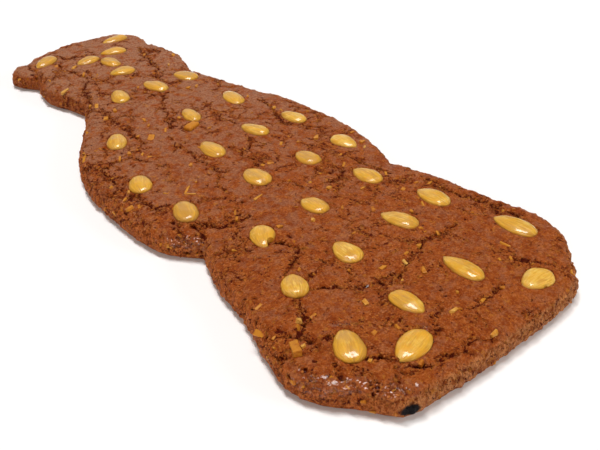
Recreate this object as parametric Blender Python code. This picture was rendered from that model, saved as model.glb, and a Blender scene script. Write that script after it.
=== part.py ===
# Speculaas figure cookie: a thick spiced biscuit shaped like a person, studded with blanched almonds.
# The figure lies on its back on the XY plane, head towards +Y, and looks up along +Z.
# The origin is at the middle of the underside. Lengths are in millimetres and become metres in place().
import math

import bmesh
import bpy
from mathutils import Matrix, Vector, geometry

MM = 0.001
SHARP_ANGLE = 50  # degrees between faces above which an edge is shaded sharp

# Driving dimensions of the dough.
RIM_HEIGHT = 14.2  # height of the flat top just inside the rounded rim
CROWN = 1.6  # how much higher the middle of the body rises
CROWN_REACH = 38.0  # distance from the edge at which the full crown is reached
OUTLINE_STEP = 9.0  # spacing of the points along the edge
TOP_STEP = 11.0  # spacing of the points that shape the top
TOP_MARGIN = 6.0  # how far those points keep from the top of the rounded side
FOOT_INSET = 3.0  # the underside is this much smaller than the widest outline
# The rounded side, from the foot to the top: (distance in from the widest outline, height).
RIM_PROFILE = ((FOOT_INSET, 0.0), (0.7, 1.8), (0.0, 4.6), (0.7, 8.4), (2.8, 11.8), (6.4, RIM_HEIGHT))

# The edge of the figure, clockwise from the crown of the hat: (x, y), and True where the edge is notched.
OUTLINE = (
    (0, 250, False), (30, 249, False), (48, 242, False), (58, 228.5, False),  # hat, right side
    (54.5, 207, True), (61.5, 187, False), (64, 170, False), (58.5, 147, False),  # hair
    (52.5, 130, True), (61.5, 108, False), (69.5, 78, False), (82, 44.5, False),  # neck and shoulder
    (89, 8, False), (91.5, -28, False), (85.5, -62, False),  # arm
    (77.5, -85, True), (88, -115, False), (94, -147, False), (101.5, -176, False),  # waist and skirt
    (103.5, -192, False), (97, -212, False), (80.5, -228.5, False), (68, -241.5, False),  # right of the hem
    (40, -247, False), (-12, -249.5, False), (-50, -249, False), (-71, -246.5, False),  # hem
    (-83.5, -230.5, False), (-96.5, -217, False), (-103.5, -198, False),  # left of the hem
    (-98.5, -172, False),
    (-91, -145, False), (-87.5, -115, False), (-77, -86, True), (-92, -70, False),  # skirt and waist
    (-99, -46, False), (-100.5, -12, False), (-99.5, 18, False), (-91, 49, False),  # arm
    (-78.5, 73, False), (-60.5, 102, False), (-49.5, 127, True), (-55, 147, False),  # shoulder and neck
    (-62.5, 167, False), (-58, 197, True), (-67, 208.5, False), (-71, 219, False),  # hair
    (-63, 230, False), (-53.5, 231, True), (-40, 241, False), (-24, 246.5, False),  # tassel and hat
)

# Creases in the top where the pieces of the figure meet: depth, half-width and route.
CREASES = (
    (2.2, 4.0, ((-80, -86), (-66, -79), (-50, -80), (-38, -84))),  # left arm over the skirt
    (1.6, 4.0, ((80, -85), (66, -84), (56, -74))),  # right arm over the skirt
    (1.4, 3.5, ((-55, 228), (-55, 212), (-59, 194))),  # tassel of the hat
    (1.6, 4.0, ((-54, 128), (-42, 140), (-38, 160))),  # hair at the left of the neck
    (1.2, 4.0, ((52, 130), (34, 145), (33, 178))),  # hair at the right of the face
    (1.0, 4.0, ((-72, -216), (-50, -233), (0, -238), (52, -234))),  # lip along the hem
)

# Whole blanched almonds.
ALMOND_THICKNESS = 7.6
ALMOND_PROUD = 3.0  # how far an almond stands out of the dough
ALMOND_TAPER = 0.24  # how much narrower the tip is than the blunt end
ALMOND_FULLNESS = 0.8  # below 1, the back keeps its height further towards the ends
ALMOND_SEGMENTS = 10
ALMOND_RINGS = 6
POCKET_CLEARANCE = 0.35

# Where each almond lies: x, y, the direction of its tip in degrees from +X, length, width.
ALMONDS = {
    "hat": ((-39, 217, 211, 25.0, 14.0), (30.5, 226.5, 184, 26.0, 12.5)),
    "eye": ((-10.5, 195.5, 188, 22.0, 13.0), (16, 200.5, 165, 23.5, 13.5)),
    "nose": ((2.5, 181.5, 98, 24.0, 14.0),),
    "mouth": ((2, 157.5, 175, 22.5, 14.5),),
    "collar": ((-22.5, 116, 74, 24.5, 14.5), (8.5, 115, 105, 26.0, 15.0), (38.5, 119, 109, 24.0, 16.5)),
    "shoulder": ((-59, 51.5, 64, 24.0, 14.5), (3, 53.5, 82, 24.0, 13.0), (45, 59.5, 82, 27.0, 15.0)),
    "chest": (
        (-74, -9, 69, 22.5, 15.5),
        (-13, 0, 87, 26.0, 15.5),
        (27, 5.5, 107, 24.5, 14.0),
        (61.5, 4.5, 102, 23.0, 14.0),
    ),
    "belly": (
        (-68, -54, 74, 24.0, 16.0),
        (-10.5, -48.5, 88, 24.0, 17.5),
        (31, -50, 93, 21.5, 15.5),
        (66, -47, 98, 22.0, 15.0),
    ),
    "waist": ((-47, -105, 58, 22.5, 15.5), (-3, -98.5, 97, 21.5, 15.0), (47, -92, 95, 24.5, 15.5)),
    "hip": (
        (-60.5, -152, 65, 20.5, 15.0),
        (-19, -147, 84, 22.5, 16.0),
        (27, -142.5, 110, 26.0, 15.0),
        (61.5, -137, 94, 25.5, 16.0),
    ),
    "skirt": (
        (-68.5, -204.5, 62, 24.0, 16.5),
        (-23.5, -199, 95, 23.0, 14.0),
        (21, -198, 93, 28.0, 14.5),
        (76.5, -189, 99, 29.0, 16.0),
    ),
    "hem": ((-43.5, -223.5, 195, 26.5, 16.0), (46, -228.5, 179, 23.5, 16.0)),
}


def clear_scene():
    for old in list(bpy.data.objects):
        bpy.data.objects.remove(old, do_unlink=True)


def baked(name, color, roughness):
    """A matte or lightly glazed food surface."""
    material = bpy.data.materials.new(name)
    material.use_nodes = True
    surface = material.node_tree.nodes["Principled BSDF"]
    surface.inputs["Base Color"].default_value = (*color, 1.0)
    surface.inputs["Roughness"].default_value = roughness
    surface.inputs["Metallic"].default_value = 0.0
    return material


def place(name, mesh, material):
    """Writes a bmesh in millimetres to an object in metres."""
    bmesh.ops.scale(mesh, vec=(MM, MM, MM), verts=mesh.verts)
    bmesh.ops.recalc_face_normals(mesh, faces=mesh.faces)
    data = bpy.data.meshes.new(name)
    mesh.to_mesh(data)
    mesh.free()
    data.materials.append(material)
    data.shade_smooth()
    data.set_sharp_from_angle(angle=math.radians(SHARP_ANGLE))
    thing = bpy.data.objects.new(name, data)
    bpy.context.scene.collection.objects.link(thing)
    return thing


def smooth_edge(points, step):
    """A closed run of points about step apart on cubic Hermite spans, smooth except where notched."""
    count = len(points)

    def tangent(index):
        before, after = points[index - 1], points[(index + 1) % count]
        return Vector((after[0] - before[0], after[1] - before[1])) / 2

    run = []
    for index, (x, y, notched) in enumerate(points):
        start = Vector((x, y))
        end_x, end_y, end_notched = points[(index + 1) % count]
        chord = Vector((end_x, end_y)) - start
        leave = chord if notched else tangent(index).normalized() * chord.length
        arrive = chord if end_notched else tangent((index + 1) % count).normalized() * chord.length
        pieces = max(1, round(chord.length / step))
        for piece in range(pieces):
            t = piece / pieces
            run.append(
                start * (2 * t**3 - 3 * t**2 + 1)
                + leave * (t**3 - 2 * t**2 + t)
                + (start + chord) * (3 * t**2 - 2 * t**3)
                + arrive * (t**3 - t**2)
            )
    middle = Vector([(min(p[axis] for p in run) + max(p[axis] for p in run)) / 2 for axis in (0, 1)])
    return [p - middle for p in run]


def inward_normals(edge):
    """One unit vector into the figure for each point of a clockwise edge."""
    normals = []
    for index, _ in enumerate(edge):
        along = edge[(index + 1) % len(edge)] - edge[index - 1]
        normals.append(Vector((along.y, -along.x)).normalized())
    return normals


def distance_to_route(point, route):
    nearest = math.inf
    for start, end in zip(route, route[1:]):
        start, end = Vector(start), Vector(end)
        t = min(1.0, max(0.0, (point - start).dot(end - start) / (end - start).length_squared))
        nearest = min(nearest, (point - start - (end - start) * t).length)
    return nearest


def top_height(point, edge):
    """Height of the top of the dough: a shallow crown, with creases pressed into it."""
    from_edge = min((point - p).length for p in edge) - RIM_PROFILE[-1][0]
    share = min(1.0, max(0.0, from_edge / CROWN_REACH))
    height = RIM_HEIGHT + CROWN * math.sin(share * math.pi / 2)
    for depth, half_width, route in CREASES:
        height -= depth * math.exp(-((distance_to_route(point, route) / half_width) ** 2))
    return height


def lattice_inside(edge, step, margin):
    """Points of a triangular lattice that lie at least margin inside the edge."""
    low = [min(p[axis] for p in edge) for axis in (0, 1)]
    high = [max(p[axis] for p in edge) for axis in (0, 1)]
    row_height = step * math.sqrt(0.75)
    found = []
    for row in range(int((high[1] - low[1]) / row_height)):
        for column in range(int((high[0] - low[0]) / step) + 1):
            point = Vector((low[0] + (column + 0.5 * (row % 2)) * step, low[1] + (row + 0.5) * row_height))
            crossings = 0
            for a, b in zip(edge, edge[1:] + edge[:1]):
                if (a.y > point.y) != (b.y > point.y):
                    crossings += point.x < a.x + (b.x - a.x) * (point.y - a.y) / (b.y - a.y)
            if crossings % 2 and min((point - p).length for p in edge) > margin:
                found.append(point)
    return found


def dough_solid(edge):
    """The slab: a flat underside, a rounded side built ring by ring, and a crowned, creased top."""
    mesh = bmesh.new()
    normals = inward_normals(edge)
    rings = []
    for inset, height in RIM_PROFILE:
        ring = [mesh.verts.new((*(p + n * inset), height)) for p, n in zip(edge, normals)]
        rings.append(ring)
    for lower, upper in zip(rings, rings[1:]):
        for index, _ in enumerate(lower):
            mesh.faces.new((lower[index - 1], lower[index], upper[index], upper[index - 1]))
    mesh.faces.new(rings[0])

    shoulder = [Vector(v.co.xy) for v in rings[-1]]
    inner = lattice_inside(shoulder, TOP_STEP, TOP_MARGIN)
    border = [(index, (index + 1) % len(shoulder)) for index, _ in enumerate(shoulder)]
    inside_only = 1
    points, _, faces, _, _, _ = geometry.delaunay_2d_cdt(shoulder + inner, border, [], inside_only, 1e-4)
    cap = rings[-1] + [mesh.verts.new((*p, top_height(p, edge))) for p in points[len(shoulder):]]
    for face in faces:
        mesh.faces.new([cap[index] for index in face])
    for vertex in rings[-1]:
        creased = top_height(Vector(vertex.co.xy), edge)
        vertex.co.z = min(vertex.co.z, creased)
    return mesh


def almond_solid(length, width, clearance=0.0):
    """An almond lying along +X, tip towards +X, centred on the origin, grown by clearance all round."""
    mesh = bmesh.new()
    rings = []
    for ring_index in range(1, ALMOND_RINGS):
        angle = math.pi * ring_index / ALMOND_RINGS
        taper = 1 + ALMOND_TAPER * math.cos(angle)
        half_width = (width / 2) * math.sin(angle) * taper + clearance
        half_height = (ALMOND_THICKNESS / 2) * math.sin(angle) ** ALMOND_FULLNESS * taper + clearance
        ring = []
        for segment in range(ALMOND_SEGMENTS):
            turn = 2 * math.pi * segment / ALMOND_SEGMENTS
            x = -(length / 2 + clearance) * math.cos(angle)
            ring.append(mesh.verts.new((x, half_width * math.cos(turn), half_height * math.sin(turn))))
        rings.append(ring)
    for first, second in zip(rings, rings[1:]):
        for index, _ in enumerate(first):
            mesh.faces.new((first[index - 1], first[index], second[index], second[index - 1]))
    for ring, end in ((rings[0], -1), (rings[-1], 1)):
        pole = mesh.verts.new((end * (length / 2 + clearance), 0, 0))
        for index, _ in enumerate(ring):
            mesh.faces.new((ring[index - 1], ring[index], pole))
    return mesh


def almond_place(x, y, turn, edge):
    """The turn and position that press an almond into the top of the dough, leaving it standing proud."""
    sunk = ALMOND_THICKNESS / 2 - ALMOND_PROUD
    height = top_height(Vector((x, y)), edge) - sunk
    return Matrix.Translation((x, y, height)) @ Matrix.Rotation(math.radians(turn), 4, "Z")


def build():
    clear_scene()
    crust = baked("baked_dough", (0.26, 0.085, 0.035), 0.6)
    kernel = baked("blanched_almond", (0.62, 0.36, 0.10), 0.35)
    edge = smooth_edge(OUTLINE, OUTLINE_STEP)
    dough = place("dough", dough_solid(edge), crust)

    pockets = bmesh.new()
    for row, almonds in ALMONDS.items():
        for number, (x, y, turn, length, width) in enumerate(almonds, start=1):
            where = almond_place(x, y, turn, edge)
            solid = almond_solid(length, width)
            solid.transform(where)
            place(f"almond_{row}_{number}", solid, kernel)
            hollow = almond_solid(length, width, POCKET_CLEARANCE)
            hollow.transform(where)
            copied = bpy.data.meshes.new("pocket")
            hollow.to_mesh(copied)
            hollow.free()
            pockets.from_mesh(copied)
            bpy.data.meshes.remove(copied)
    cutter = place("almond_pockets", pockets, crust)
    cutter.hide_render = True
    cutter.display_type = "WIRE"
    cut = dough.modifiers.new("almond pockets", "BOOLEAN")
    cut.operation = "DIFFERENCE"
    cut.object = cutter


build()
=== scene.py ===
# Speculaas doll studded with almonds, lying on a pale table. Blender 4.5.
# The lengths in the dictionaries are millimetres, and mm turns them into metres.
import math

import bpy
import numpy as np
from mathutils import Matrix, Vector, noise
from mathutils.bvhtree import BVHTree
from mathutils.kdtree import KDTree


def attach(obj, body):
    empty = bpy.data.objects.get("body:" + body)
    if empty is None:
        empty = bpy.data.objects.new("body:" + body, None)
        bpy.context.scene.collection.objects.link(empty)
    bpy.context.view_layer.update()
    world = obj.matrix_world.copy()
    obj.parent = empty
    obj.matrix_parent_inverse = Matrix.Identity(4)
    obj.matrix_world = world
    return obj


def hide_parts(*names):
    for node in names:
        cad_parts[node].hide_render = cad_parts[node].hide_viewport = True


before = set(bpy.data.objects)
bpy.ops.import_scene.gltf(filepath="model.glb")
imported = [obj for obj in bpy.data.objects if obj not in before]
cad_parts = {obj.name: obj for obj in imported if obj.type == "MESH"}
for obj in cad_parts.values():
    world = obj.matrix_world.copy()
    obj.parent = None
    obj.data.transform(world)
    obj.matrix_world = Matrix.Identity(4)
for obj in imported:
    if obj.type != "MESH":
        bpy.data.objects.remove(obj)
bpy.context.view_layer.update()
mm = 0.001
print("frame loaded,", len(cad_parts), "nodes")


def only(piece):  # this piece selected and active, nothing else
    bpy.ops.object.select_all(action="DESELECT")
    piece.select_set(True)
    bpy.context.view_layer.objects.active = piece


def applyModifiers(piece):
    only(piece)
    for modifier in list(piece.modifiers):
        bpy.ops.object.modifier_apply(modifier=modifier.name)


def pointsOf(piece):
    flat = np.empty(len(piece.data.vertices) * 3)
    piece.data.vertices.foreach_get("co", flat)
    return flat.reshape(-1, 3)


def normalsOf(piece):
    flat = np.empty(len(piece.data.vertices) * 3)
    piece.data.vertices.foreach_get("normal", flat)
    return flat.reshape(-1, 3)


def faceCentres(piece):
    flat = np.empty(len(piece.data.polygons) * 3)
    piece.data.polygons.foreach_get("center", flat)
    return flat.reshape(-1, 3)


def pickFaces(piece, wanted):  # into edit mode with just these faces selected
    only(piece)
    bpy.ops.object.mode_set(mode="EDIT")
    bpy.ops.mesh.select_mode(type="FACE")
    bpy.ops.mesh.select_all(action="DESELECT")
    bpy.ops.object.mode_set(mode="OBJECT")
    piece.data.polygons.foreach_set("select", np.asarray(wanted, dtype=bool))
    bpy.ops.object.mode_set(mode="EDIT")


def store(piece, name, values, kind="FLOAT"):  # a value for each vertex, which the finish reads by this name
    stored = piece.data.attributes.new(name, kind, "POINT")
    field = "vector" if kind == "FLOAT_VECTOR" else "value"
    stored.data.foreach_set(field, np.asarray(values, np.float32).ravel())


def recall(piece, name):
    values = np.empty(len(piece.data.vertices), np.float32)
    piece.data.attributes[name].data.foreach_get("value", values)
    return values


def treeOf(piece):
    corners = [vertex.co for vertex in piece.data.vertices]
    return BVHTree.FromPolygons(corners, [face.vertices for face in piece.data.polygons])


def roll(points, size, shift=0.0):  # smooth noise from about -1 to 1 at each point
    return np.array([noise.noise(Vector(p) / size + Vector((shift, 2 * shift, 3 * shift))) for p in points])


def rise(values, low, high):  # 0 below low, 1 above high, smooth between
    t = np.clip((values - low) / (high - low), 0, 1)
    return t * t * (3 - 2 * t)


def mask(piece, name, weights):  # stored twice, as a group for modifiers and as an attribute for the finish
    weights = np.clip(weights, 0, 1)
    group = piece.vertex_groups.new(name=name)
    for index in np.nonzero(weights > 0.01)[0]:
        group.add((int(index),), float(weights[index]), "REPLACE")
    store(piece, name + "Mask", weights)


# moves the surface by amount, evenly or, with a grain size, by a cloud pattern
def push(piece, amount, group="", grain=0.0, way="NORMAL", basis="ORIGINAL_PERLIN"):
    displace = piece.modifiers.new("push", "DISPLACE")
    displace.strength = amount * mm
    displace.direction = way
    displace.vertex_group = group
    displace.mid_level = 0.0
    if grain:
        pattern = bpy.data.textures.new("pushPattern", "CLOUDS")
        pattern.noise_basis = basis
        pattern.noise_scale = grain * mm
        pattern.noise_depth = 1
        displace.texture = pattern
        displace.mid_level = 0.5


class Wire:  # one socket of a material; + - and * on it add Math nodes
    def __init__(self, tree, socket=None):
        self.tree = tree
        self.socket = socket

    def node(self, kind, settings=None, sockets=None, out=0):
        made = self.tree.nodes.new(kind)
        for name, value in (settings or {}).items():
            setattr(made, name, value)
        for name, value in (sockets or {}).items():
            if isinstance(value, Wire):
                self.tree.links.new(value.socket, made.inputs[name])
            else:
                made.inputs[name].default_value = value
        return Wire(self.tree, made.outputs[out])

    def math(self, operation, first, second=0.0):
        return self.node("ShaderNodeMath", {"operation": operation}, {0: first, 1: second})

    def most(self, *others):  # the largest of these, as of overlapping masks
        largest = self
        for other in others:
            largest = self.math("MAXIMUM", largest, other)
        return largest

    def __abs__(self):
        return self.math("ABSOLUTE", self)

    def __add__(self, other):
        return self.math("ADD", self, other)

    def __sub__(self, other):
        return self.math("SUBTRACT", self, other)

    def __rsub__(self, other):
        return self.math("SUBTRACT", other, self)

    def __mul__(self, other):
        return self.math("MULTIPLY", self, other)

    __radd__ = __add__
    __rmul__ = __mul__

    def between(self, low, high):  # 0 below low, 1 above high, smooth between
        return self.node("ShaderNodeMapRange", {"interpolation_type": "SMOOTHSTEP"},
                         {"Value": self, "From Min": low, "From Max": high})

    def blend(self, first, second):  # from the first colour to the second as this goes from 0 to 1
        first, second = (c if isinstance(c, Wire) else (*c, 1.0) for c in (first, second))
        return self.node("ShaderNodeMix", {"data_type": "RGBA"}, {0: self, 6: first, 7: second}, out=2)

    def painted(self, name):  # a mask stored on the mesh
        return self.node("ShaderNodeAttribute", {"attribute_name": name}, out=2)

    def cloud(self, place, size, detail=2.0, rough=0.5, out=0):  # noise with this grain size in millimetres
        return self.node("ShaderNodeTexNoise", {}, {
            "Vector": place, "Scale": 1 / (size * mm), "Detail": detail, "Roughness": rough}, out)

    def cells(self, place, size, feature="F1"):  # distance inside cells of this size in millimetres
        return self.node("ShaderNodeTexVoronoi", {"feature": feature}, {
            "Vector": place, "Scale": 1 / (size * mm)})

    def vectors(self, operation, first, second):
        return self.node("ShaderNodeVectorMath", {"operation": operation}, {0: first, 1: second})

    def wander(self, place, size, reach):  # coordinates pushed about by up to this reach, both in millimetres
        away = self.vectors("SUBTRACT", self.cloud(place, size, 1.0, out=1), (0.5, 0.5, 0.5))
        return self.vectors("ADD", place, self.vectors("MULTIPLY", away, (2 * reach * mm,) * 3))


def newMaterial(name, settings):  # settings go on the shader's own sockets
    material = bpy.data.materials.new(name)
    material.use_nodes = True
    tree = material.node_tree
    shader = tree.nodes["Principled BSDF"]
    for socket, value in settings.items():
        shader.inputs[socket].default_value = value
    make = Wire(tree)
    return material, shader, make, make.node("ShaderNodeTexCoord", out=3)


# links feed the shader's sockets, bumps are heights with their depth in millimetres, from coarse to fine
def finishSurface(shader, make, links, bumps):
    for height, depth in bumps:
        sockets = {"Height": height, "Distance": depth * mm, "Strength": 1.0}
        if "Normal" in links:
            sockets["Normal"] = links["Normal"]
        links["Normal"] = make.node("ShaderNodeBump", {}, sockets)
    for name, wire in links.items():
        make.tree.links.new(wire.socket, shader.inputs[name])


crustLook = {
    "plate": (0.460, 0.098, 0.013),
    "plateDark": (0.295, 0.047, 0.003),
    "plateLight": (0.590, 0.165, 0.029),
    # painted sheen: the greyish gleam of the crust towards the hat
    "plateSheen": (0.47, 0.23, 0.130),
    # painted highlight: glints on the bumpy crust
    "plateGlint": (0.78, 0.31, 0.12),
    "crumb": (0.39, 0.080, 0.009),
    "crumbLight": (0.62, 0.190, 0.028),
    "fleck": (0.60, 0.21, 0.028),
    "wall": (0.86, 0.395, 0.150),
    # painted shade on the left arm's wall
    "wallLeftShade": (0.80, 0.222, 0.050),
    "wallFar": (0.44, 0.105, 0.026),
    # painted shade inside the openings
    "holeShade": (0.105, 0.003, 0.0),
    "burnt": (0.006, 0.004, 0.005),
    "roughness": 0.5,
    "wetPatches": 1.0,
    "hemToHat": (-0.24, 0.2),  # where along the figure the crust turns darker and takes more painted sheen, in metres
    "armLeft": (-0.06, -0.085),  # where across it the wall takes the painted shade of the left arm's
}


def crustMaterial():
    look = crustLook
    material, shader, make, place = newMaterial("bakedCrust", {
        "Specular IOR Level": 0.16, "Coat Roughness": 0.11})
    band, pit, wall, rim = (make.painted(name + "Mask") for name in ("band", "pit", "wall", "rim"))
    wet, burnt, opening = (make.painted(name + "Mask") for name in ("wet", "burnt", "opening"))
    left = make.node("ShaderNodeSeparateXYZ", {}, {0: place}, out=0).between(*look["armLeft"])
    far = make.node("ShaderNodeSeparateXYZ", {}, {0: place}, out=1).between(*look["hemToHat"])

    # patterns from coarse to fine
    broad = make.cloud(place, 42, 3, 0.55)
    texture = make.cloud(place, 5.5, 6, 0.88)
    patch = make.cloud(place, 3.4, 4, 0.7)
    grain = make.cloud(place, 1.3, 3, 0.8)
    stripes = make.cloud(make.vectors("MULTIPLY", place, (1, 1, 0.3)), 2.0, 4, 0.7)
    droplet = 1 - make.cells(place, 17).between(0.03, 0.08)

    # hairline cracks, with a crumbly zone along them and in the drawn bands
    broken = band.most(wall * 0.5)
    lines = make.cells(make.wander(make.wander(place, 14, 6.0), 3.2, 1.8), 13, "DISTANCE_TO_EDGE")
    shown = (make.cloud(place, 9, 3, 0.6) + (broad - 0.5) * 0.6 + broken * 0.25).between(0.5, 0.62)
    hair = (1 - (lines + (grain - 0.5) * 0.06).between(0.01, 0.035)) * shown
    zone = ((1 - lines.between(0.02, 0.16)) * shown).most(broken * 0.85)
    pores = (make.cloud(place, 2.3, 3, 0.7) + zone * 0.08 + (broad - 0.5) * 0.1).between(0.63, 0.68)

    # the smooth plates, with patches of painted sheen that grow towards the hat
    colour = (texture + (broad - 0.5) * 0.2).between(0.41, 0.51).blend(look["plateDark"], look["plate"])
    colour = ((texture + zone * 0.02).between(0.51, 0.60) * 0.8).blend(colour, look["plateLight"])
    colour = (far * 0.25).blend(colour, look["plateDark"])
    # painted sheen in patches, more of it towards the hat
    sheenPatches = (make.cloud(place, 6, 5, 0.75) + far * 0.1 - zone * 0.06).between(0.47, 0.6)
    colour = (sheenPatches * (0.3 + far * 0.6)).blend(colour, look["plateSheen"])

    # the torn wall, then the crumb
    # the wall in painted shade on the left arm, and darker towards the hat
    wallColour = far.between(0.6, 1.0).blend(left.blend(look["wall"], look["wallLeftShade"]), look["wallFar"])
    wallColour = (stripes * 0.6 + patch * 0.4).between(0.36, 0.56).blend(look["crumb"], wallColour)
    colour = (wall * 0.9).blend(colour, wallColour)
    crumbColour = patch.between(0.42, 0.62).blend(look["crumb"], look["crumbLight"])
    colour = (zone * 0.5).blend(colour, crumbColour)
    colour = (grain.between(0.54, 0.38) * (0.65 + zone * 0.35)).blend(colour, look["plateDark"])
    # painted highlights on the brightest specks of the grain
    colour = (grain.between(0.53, 0.68) * (0.36 + zone * 0.35)).blend(colour, look["plateGlint"])
    fleck = (make.cloud(place, 2.8, 2, 0.6) + zone * 0.06).between(0.62, 0.68)
    colour = (fleck * 0.6).blend(colour, look["fleck"])

    # painted shade in the dark openings: the drawn cracks, holes, hairlines, pores and beads of crumb, and a
    # thin painted contact shadow round the almonds
    line = abs(make.painted("line") + (grain - 0.5) * 1.6)
    width = (opening * 0.5 + (make.cloud(place, 3.6, 2, 0.6) - 0.5) * 3.0).between(0.0, 1.0)
    opened = (width - line).between(0.0, 0.3)
    hollow = (pit * 0.6 + (grain - 0.5) * 1.0).between(0.28, 0.45)
    beads = (make.cloud(place, 1.7, 2, 0.6) + band * 0.05).between(0.645, 0.68) * band.between(0.3, 0.8) * 0.8
    # the rim term is a painted contact shadow where the almonds meet the crust
    dark = opened.most(hollow, hair * (0.45 + far * 0.3), pores, beads, rim * 0.12)
    colour = (dark * 0.92).blend(colour, look["holeShade"])
    colour = burnt.blend(colour, look["burnt"])

    roughness = look["roughness"] + zone * 0.2 + (patch - 0.5) * 0.5
    coat = (wet * look["wetPatches"]).most(droplet)
    finishSurface(shader, make, {"Base Color": colour, "Roughness": roughness, "Coat Weight": coat},
                  ((texture, 2.4), (dark, -0.8), (stripes * wall, 2.0), (grain * (0.6 + zone * 0.8), 0.6)))
    return material


doughLook = {
    "weld": 0.01,
    "pocketReach": 0.7,  # faces this close to an almond belong to its pocket
    "fineMask": 0.48,  # the crust is subdivided where its masks are above this
    "fineHeight": 11.0,  # and only above this height
    "steepWall": 0.65,  # faces whose normal rises less than this are subdivided too
    "voxel": 1.7,
    "smoothing": 3,
    "undersideKept": 0.03,  # share of the flat underside's facets that stay
    "warp": ((9.0, 3.4), (3.2, 1.5)),  # grain and reach of the wander given to the drawn cracks
    "cellSize": 19.0,  # the crust also breaks into plates of about this size
    "cellShare": 0.42,
    "looseMargin": 0.45,  # strength of a band along the margin, where the crust is loose but not split
    "bandLift": -0.2,
    "splitDepth": -1.3,
    "crumbGrain": ((2.6, 0.5), (1.5, 0.6)),  # grain and height of the crumb in the bands
    "lumps": ((46.0, 1.5), (16.0, 0.9), (6.0, 0.6)),
    "pits": 1500,
    "pitSize": (0.5, 1.25),
    "pitDepth": -1.6,
    "pitEdge": (1.9, 0.55),  # grain and strength of its raggedness
    "holeShare": 0.8,  # the drawn holes are cut to this share of their radius
    "bedDepth": -2.0,
    "bedTaper": 0.35,  # how much narrower an almond's bed is at the tip
    "lipHeight": 0.35,
    "sideGrain": ((7.0, 1.6), (2.8, 1.7)),
    "shoulderGrain": ((5.5, 3.2), (2.4, 2.0)),  # rough edge where the top turns down
    "wetGrain": ((2.0, 1.7),),
    "undercut": 0.2,  # how far the foot of the wall draws in above the table
    "scratches": (2.2, 1.1),  # upright marks in the wall, their spacing and depth
    "seed": 12,
}

# half width of the crumbly band, depth of the split in it from 0 to 1, and its route over the top
cracks = (
    (5.0, 0.7, ((-58, -158), (-45, -165), (-38, -172), (-28, -178), (-15, -182))),
    (4.0, 0.45, ((-15, -182), (0, -175), (12, -170), (22, -166), (35, -168), (52, -165))),
    (4.5, 0.9, ((-50, -112), (-42, -118), (-38, -127), (-52, -138), (-62, -140))),
    (6.0, 0.8, ((-66, -160), (-70, -168), (-73, -178), (-84, -184))),
    (4.5, 1.0, ((-78, -213), (-62, -218), (-55, -229), (-47, -237))),
    (4.0, 0.5, ((-43, -238), (-33, -240), (-20, -236), (-6, -242))),
    (3.5, 0.6, ((0, -221), (14, -222), (26, -220))),
    (3.5, 0.7, ((50, -211), (55, -217), (62, -224))),
    (6.0, 0.7, ((75, -118), (77, -145), (83, -162), (87, -180), (84, -200))),
    (5.0, 1.0, ((-80, -91), (-85, -80), (-93, -69))),
    (6.0, 0.9, ((-78, -60), (-70, -66), (-64, -74), (-58, -80), (-42, -83))),
    (3.5, 0.5, ((-25, -20), (-28, -30), (-35, -42), (-38, -54))),
    (6.0, 0.9, ((-84, -18), (-80, -38), (-74, -43))),
    (8.0, 0.5, ((-86, 30), (-84, 12), (-88, -6))),
    (3.5, 0.7, ((28, -64), (30, -75), (38, -76), (43, -71))),
    (4.5, 0.6, ((53, -66), (58, -80), (61, -98))),
    (2.5, 0.4, ((0, -63), (4, -79))),
    (4.0, 0.6, ((52, 16), (53, 2), (60, -15), (67, -19))),
    (6.5, 1.0, ((-38, 150), (-41, 140), (-45, 125), (-52, 108))),
    (3.5, 0.7, ((-10, 121), (-6, 114))),
    (4.0, 0.8, ((17, 134), (20, 119))),
    (4.5, 0.7, ((6, 110), (5, 98), (0, 90), (-5, 80), (-10, 68), (-14, 58), (-19, 46))),
    (6.0, 0.6, ((-45, 106), (-43, 90), (-46, 75), (-44, 65), (-48, 55), (-45, 38))),
    (4.5, 0.6, ((61, 46), (58, 30), (54, 14), (52, 0))),
    (3.5, 0.4, ((20, 51), (18, 35), (22, 24))),
    (6.0, 0.6, ((-92, 34), (-80, 25), (-62, 24), (-56, 12))),
    (5.5, 0.8, ((41, 197), (35, 182), (32, 170), (30, 158), (28, 145), (20, 134))),
    (4.5, 0.7, ((-29, 226), (-25, 213), (-12, 211), (1, 205))),
    (4.0, 0.8, ((-52, 229), (-54, 206), (-60, 190))),
    (4.5, 0.6, ((-35, 206), (-34, 195), (-30, 180), (-28, 160), (-38, 150))),
    (4.5, 0.6, ((-66, -198), (-80, -190), (-92, -176))),
    (4.0, 0.5, ((-30, 22), (-26, 4), (-28, -14))),
    (3.0, 1.0, ((-77, -84), (-73, -80), (-71, -72), (-69, -64))),
    (13.0, 0.0, ((-93, 45), (-96, 10), (-95, -30), (-88, -65))),
    (11.0, 0.0, ((-72, -105), (-82, -135), (-92, -160), (-96, -190))),
    (10.0, 0.0, ((-45, 100), (-62, 60), (-50, 20), (-55, -20))),
)

# single holes, as x, y and radius
holes = ((-72, -175, 3.0), (-87, -174, 2.6), (-81, -182, 2.2), (-39, 142, 3.8), (-35, -115, 2.2),
         (-8, 118, 2.2), (33, -166, 1.5), (-2, -243, 1.8), (-33, -239, 1.9), (54, -215, 1.6),
         (-88, -202, 1.7), (-60, -120, 1.4), (-15, -124, 1.3), (-45, 66, 1.8), (-64, 35, 1.9),
         (-31, -7, 1.8), (-67, 17, 1.6), (-25, -29, 1.9), (-78, -39, 1.9), (37, -78, 1.8), (9, -149, 1.1),
         (-1, -153, 1.2), (-50, -90, 1.9), (-2, -203, 1.2), (17, 163, 1.3), (-58, 204, 2.2),
         (61, -98, 1.6), (-86, -18, 1.8), (-95, 12, 1.4), (8, 103, 1.6), (97, -199, 2.6))

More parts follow.
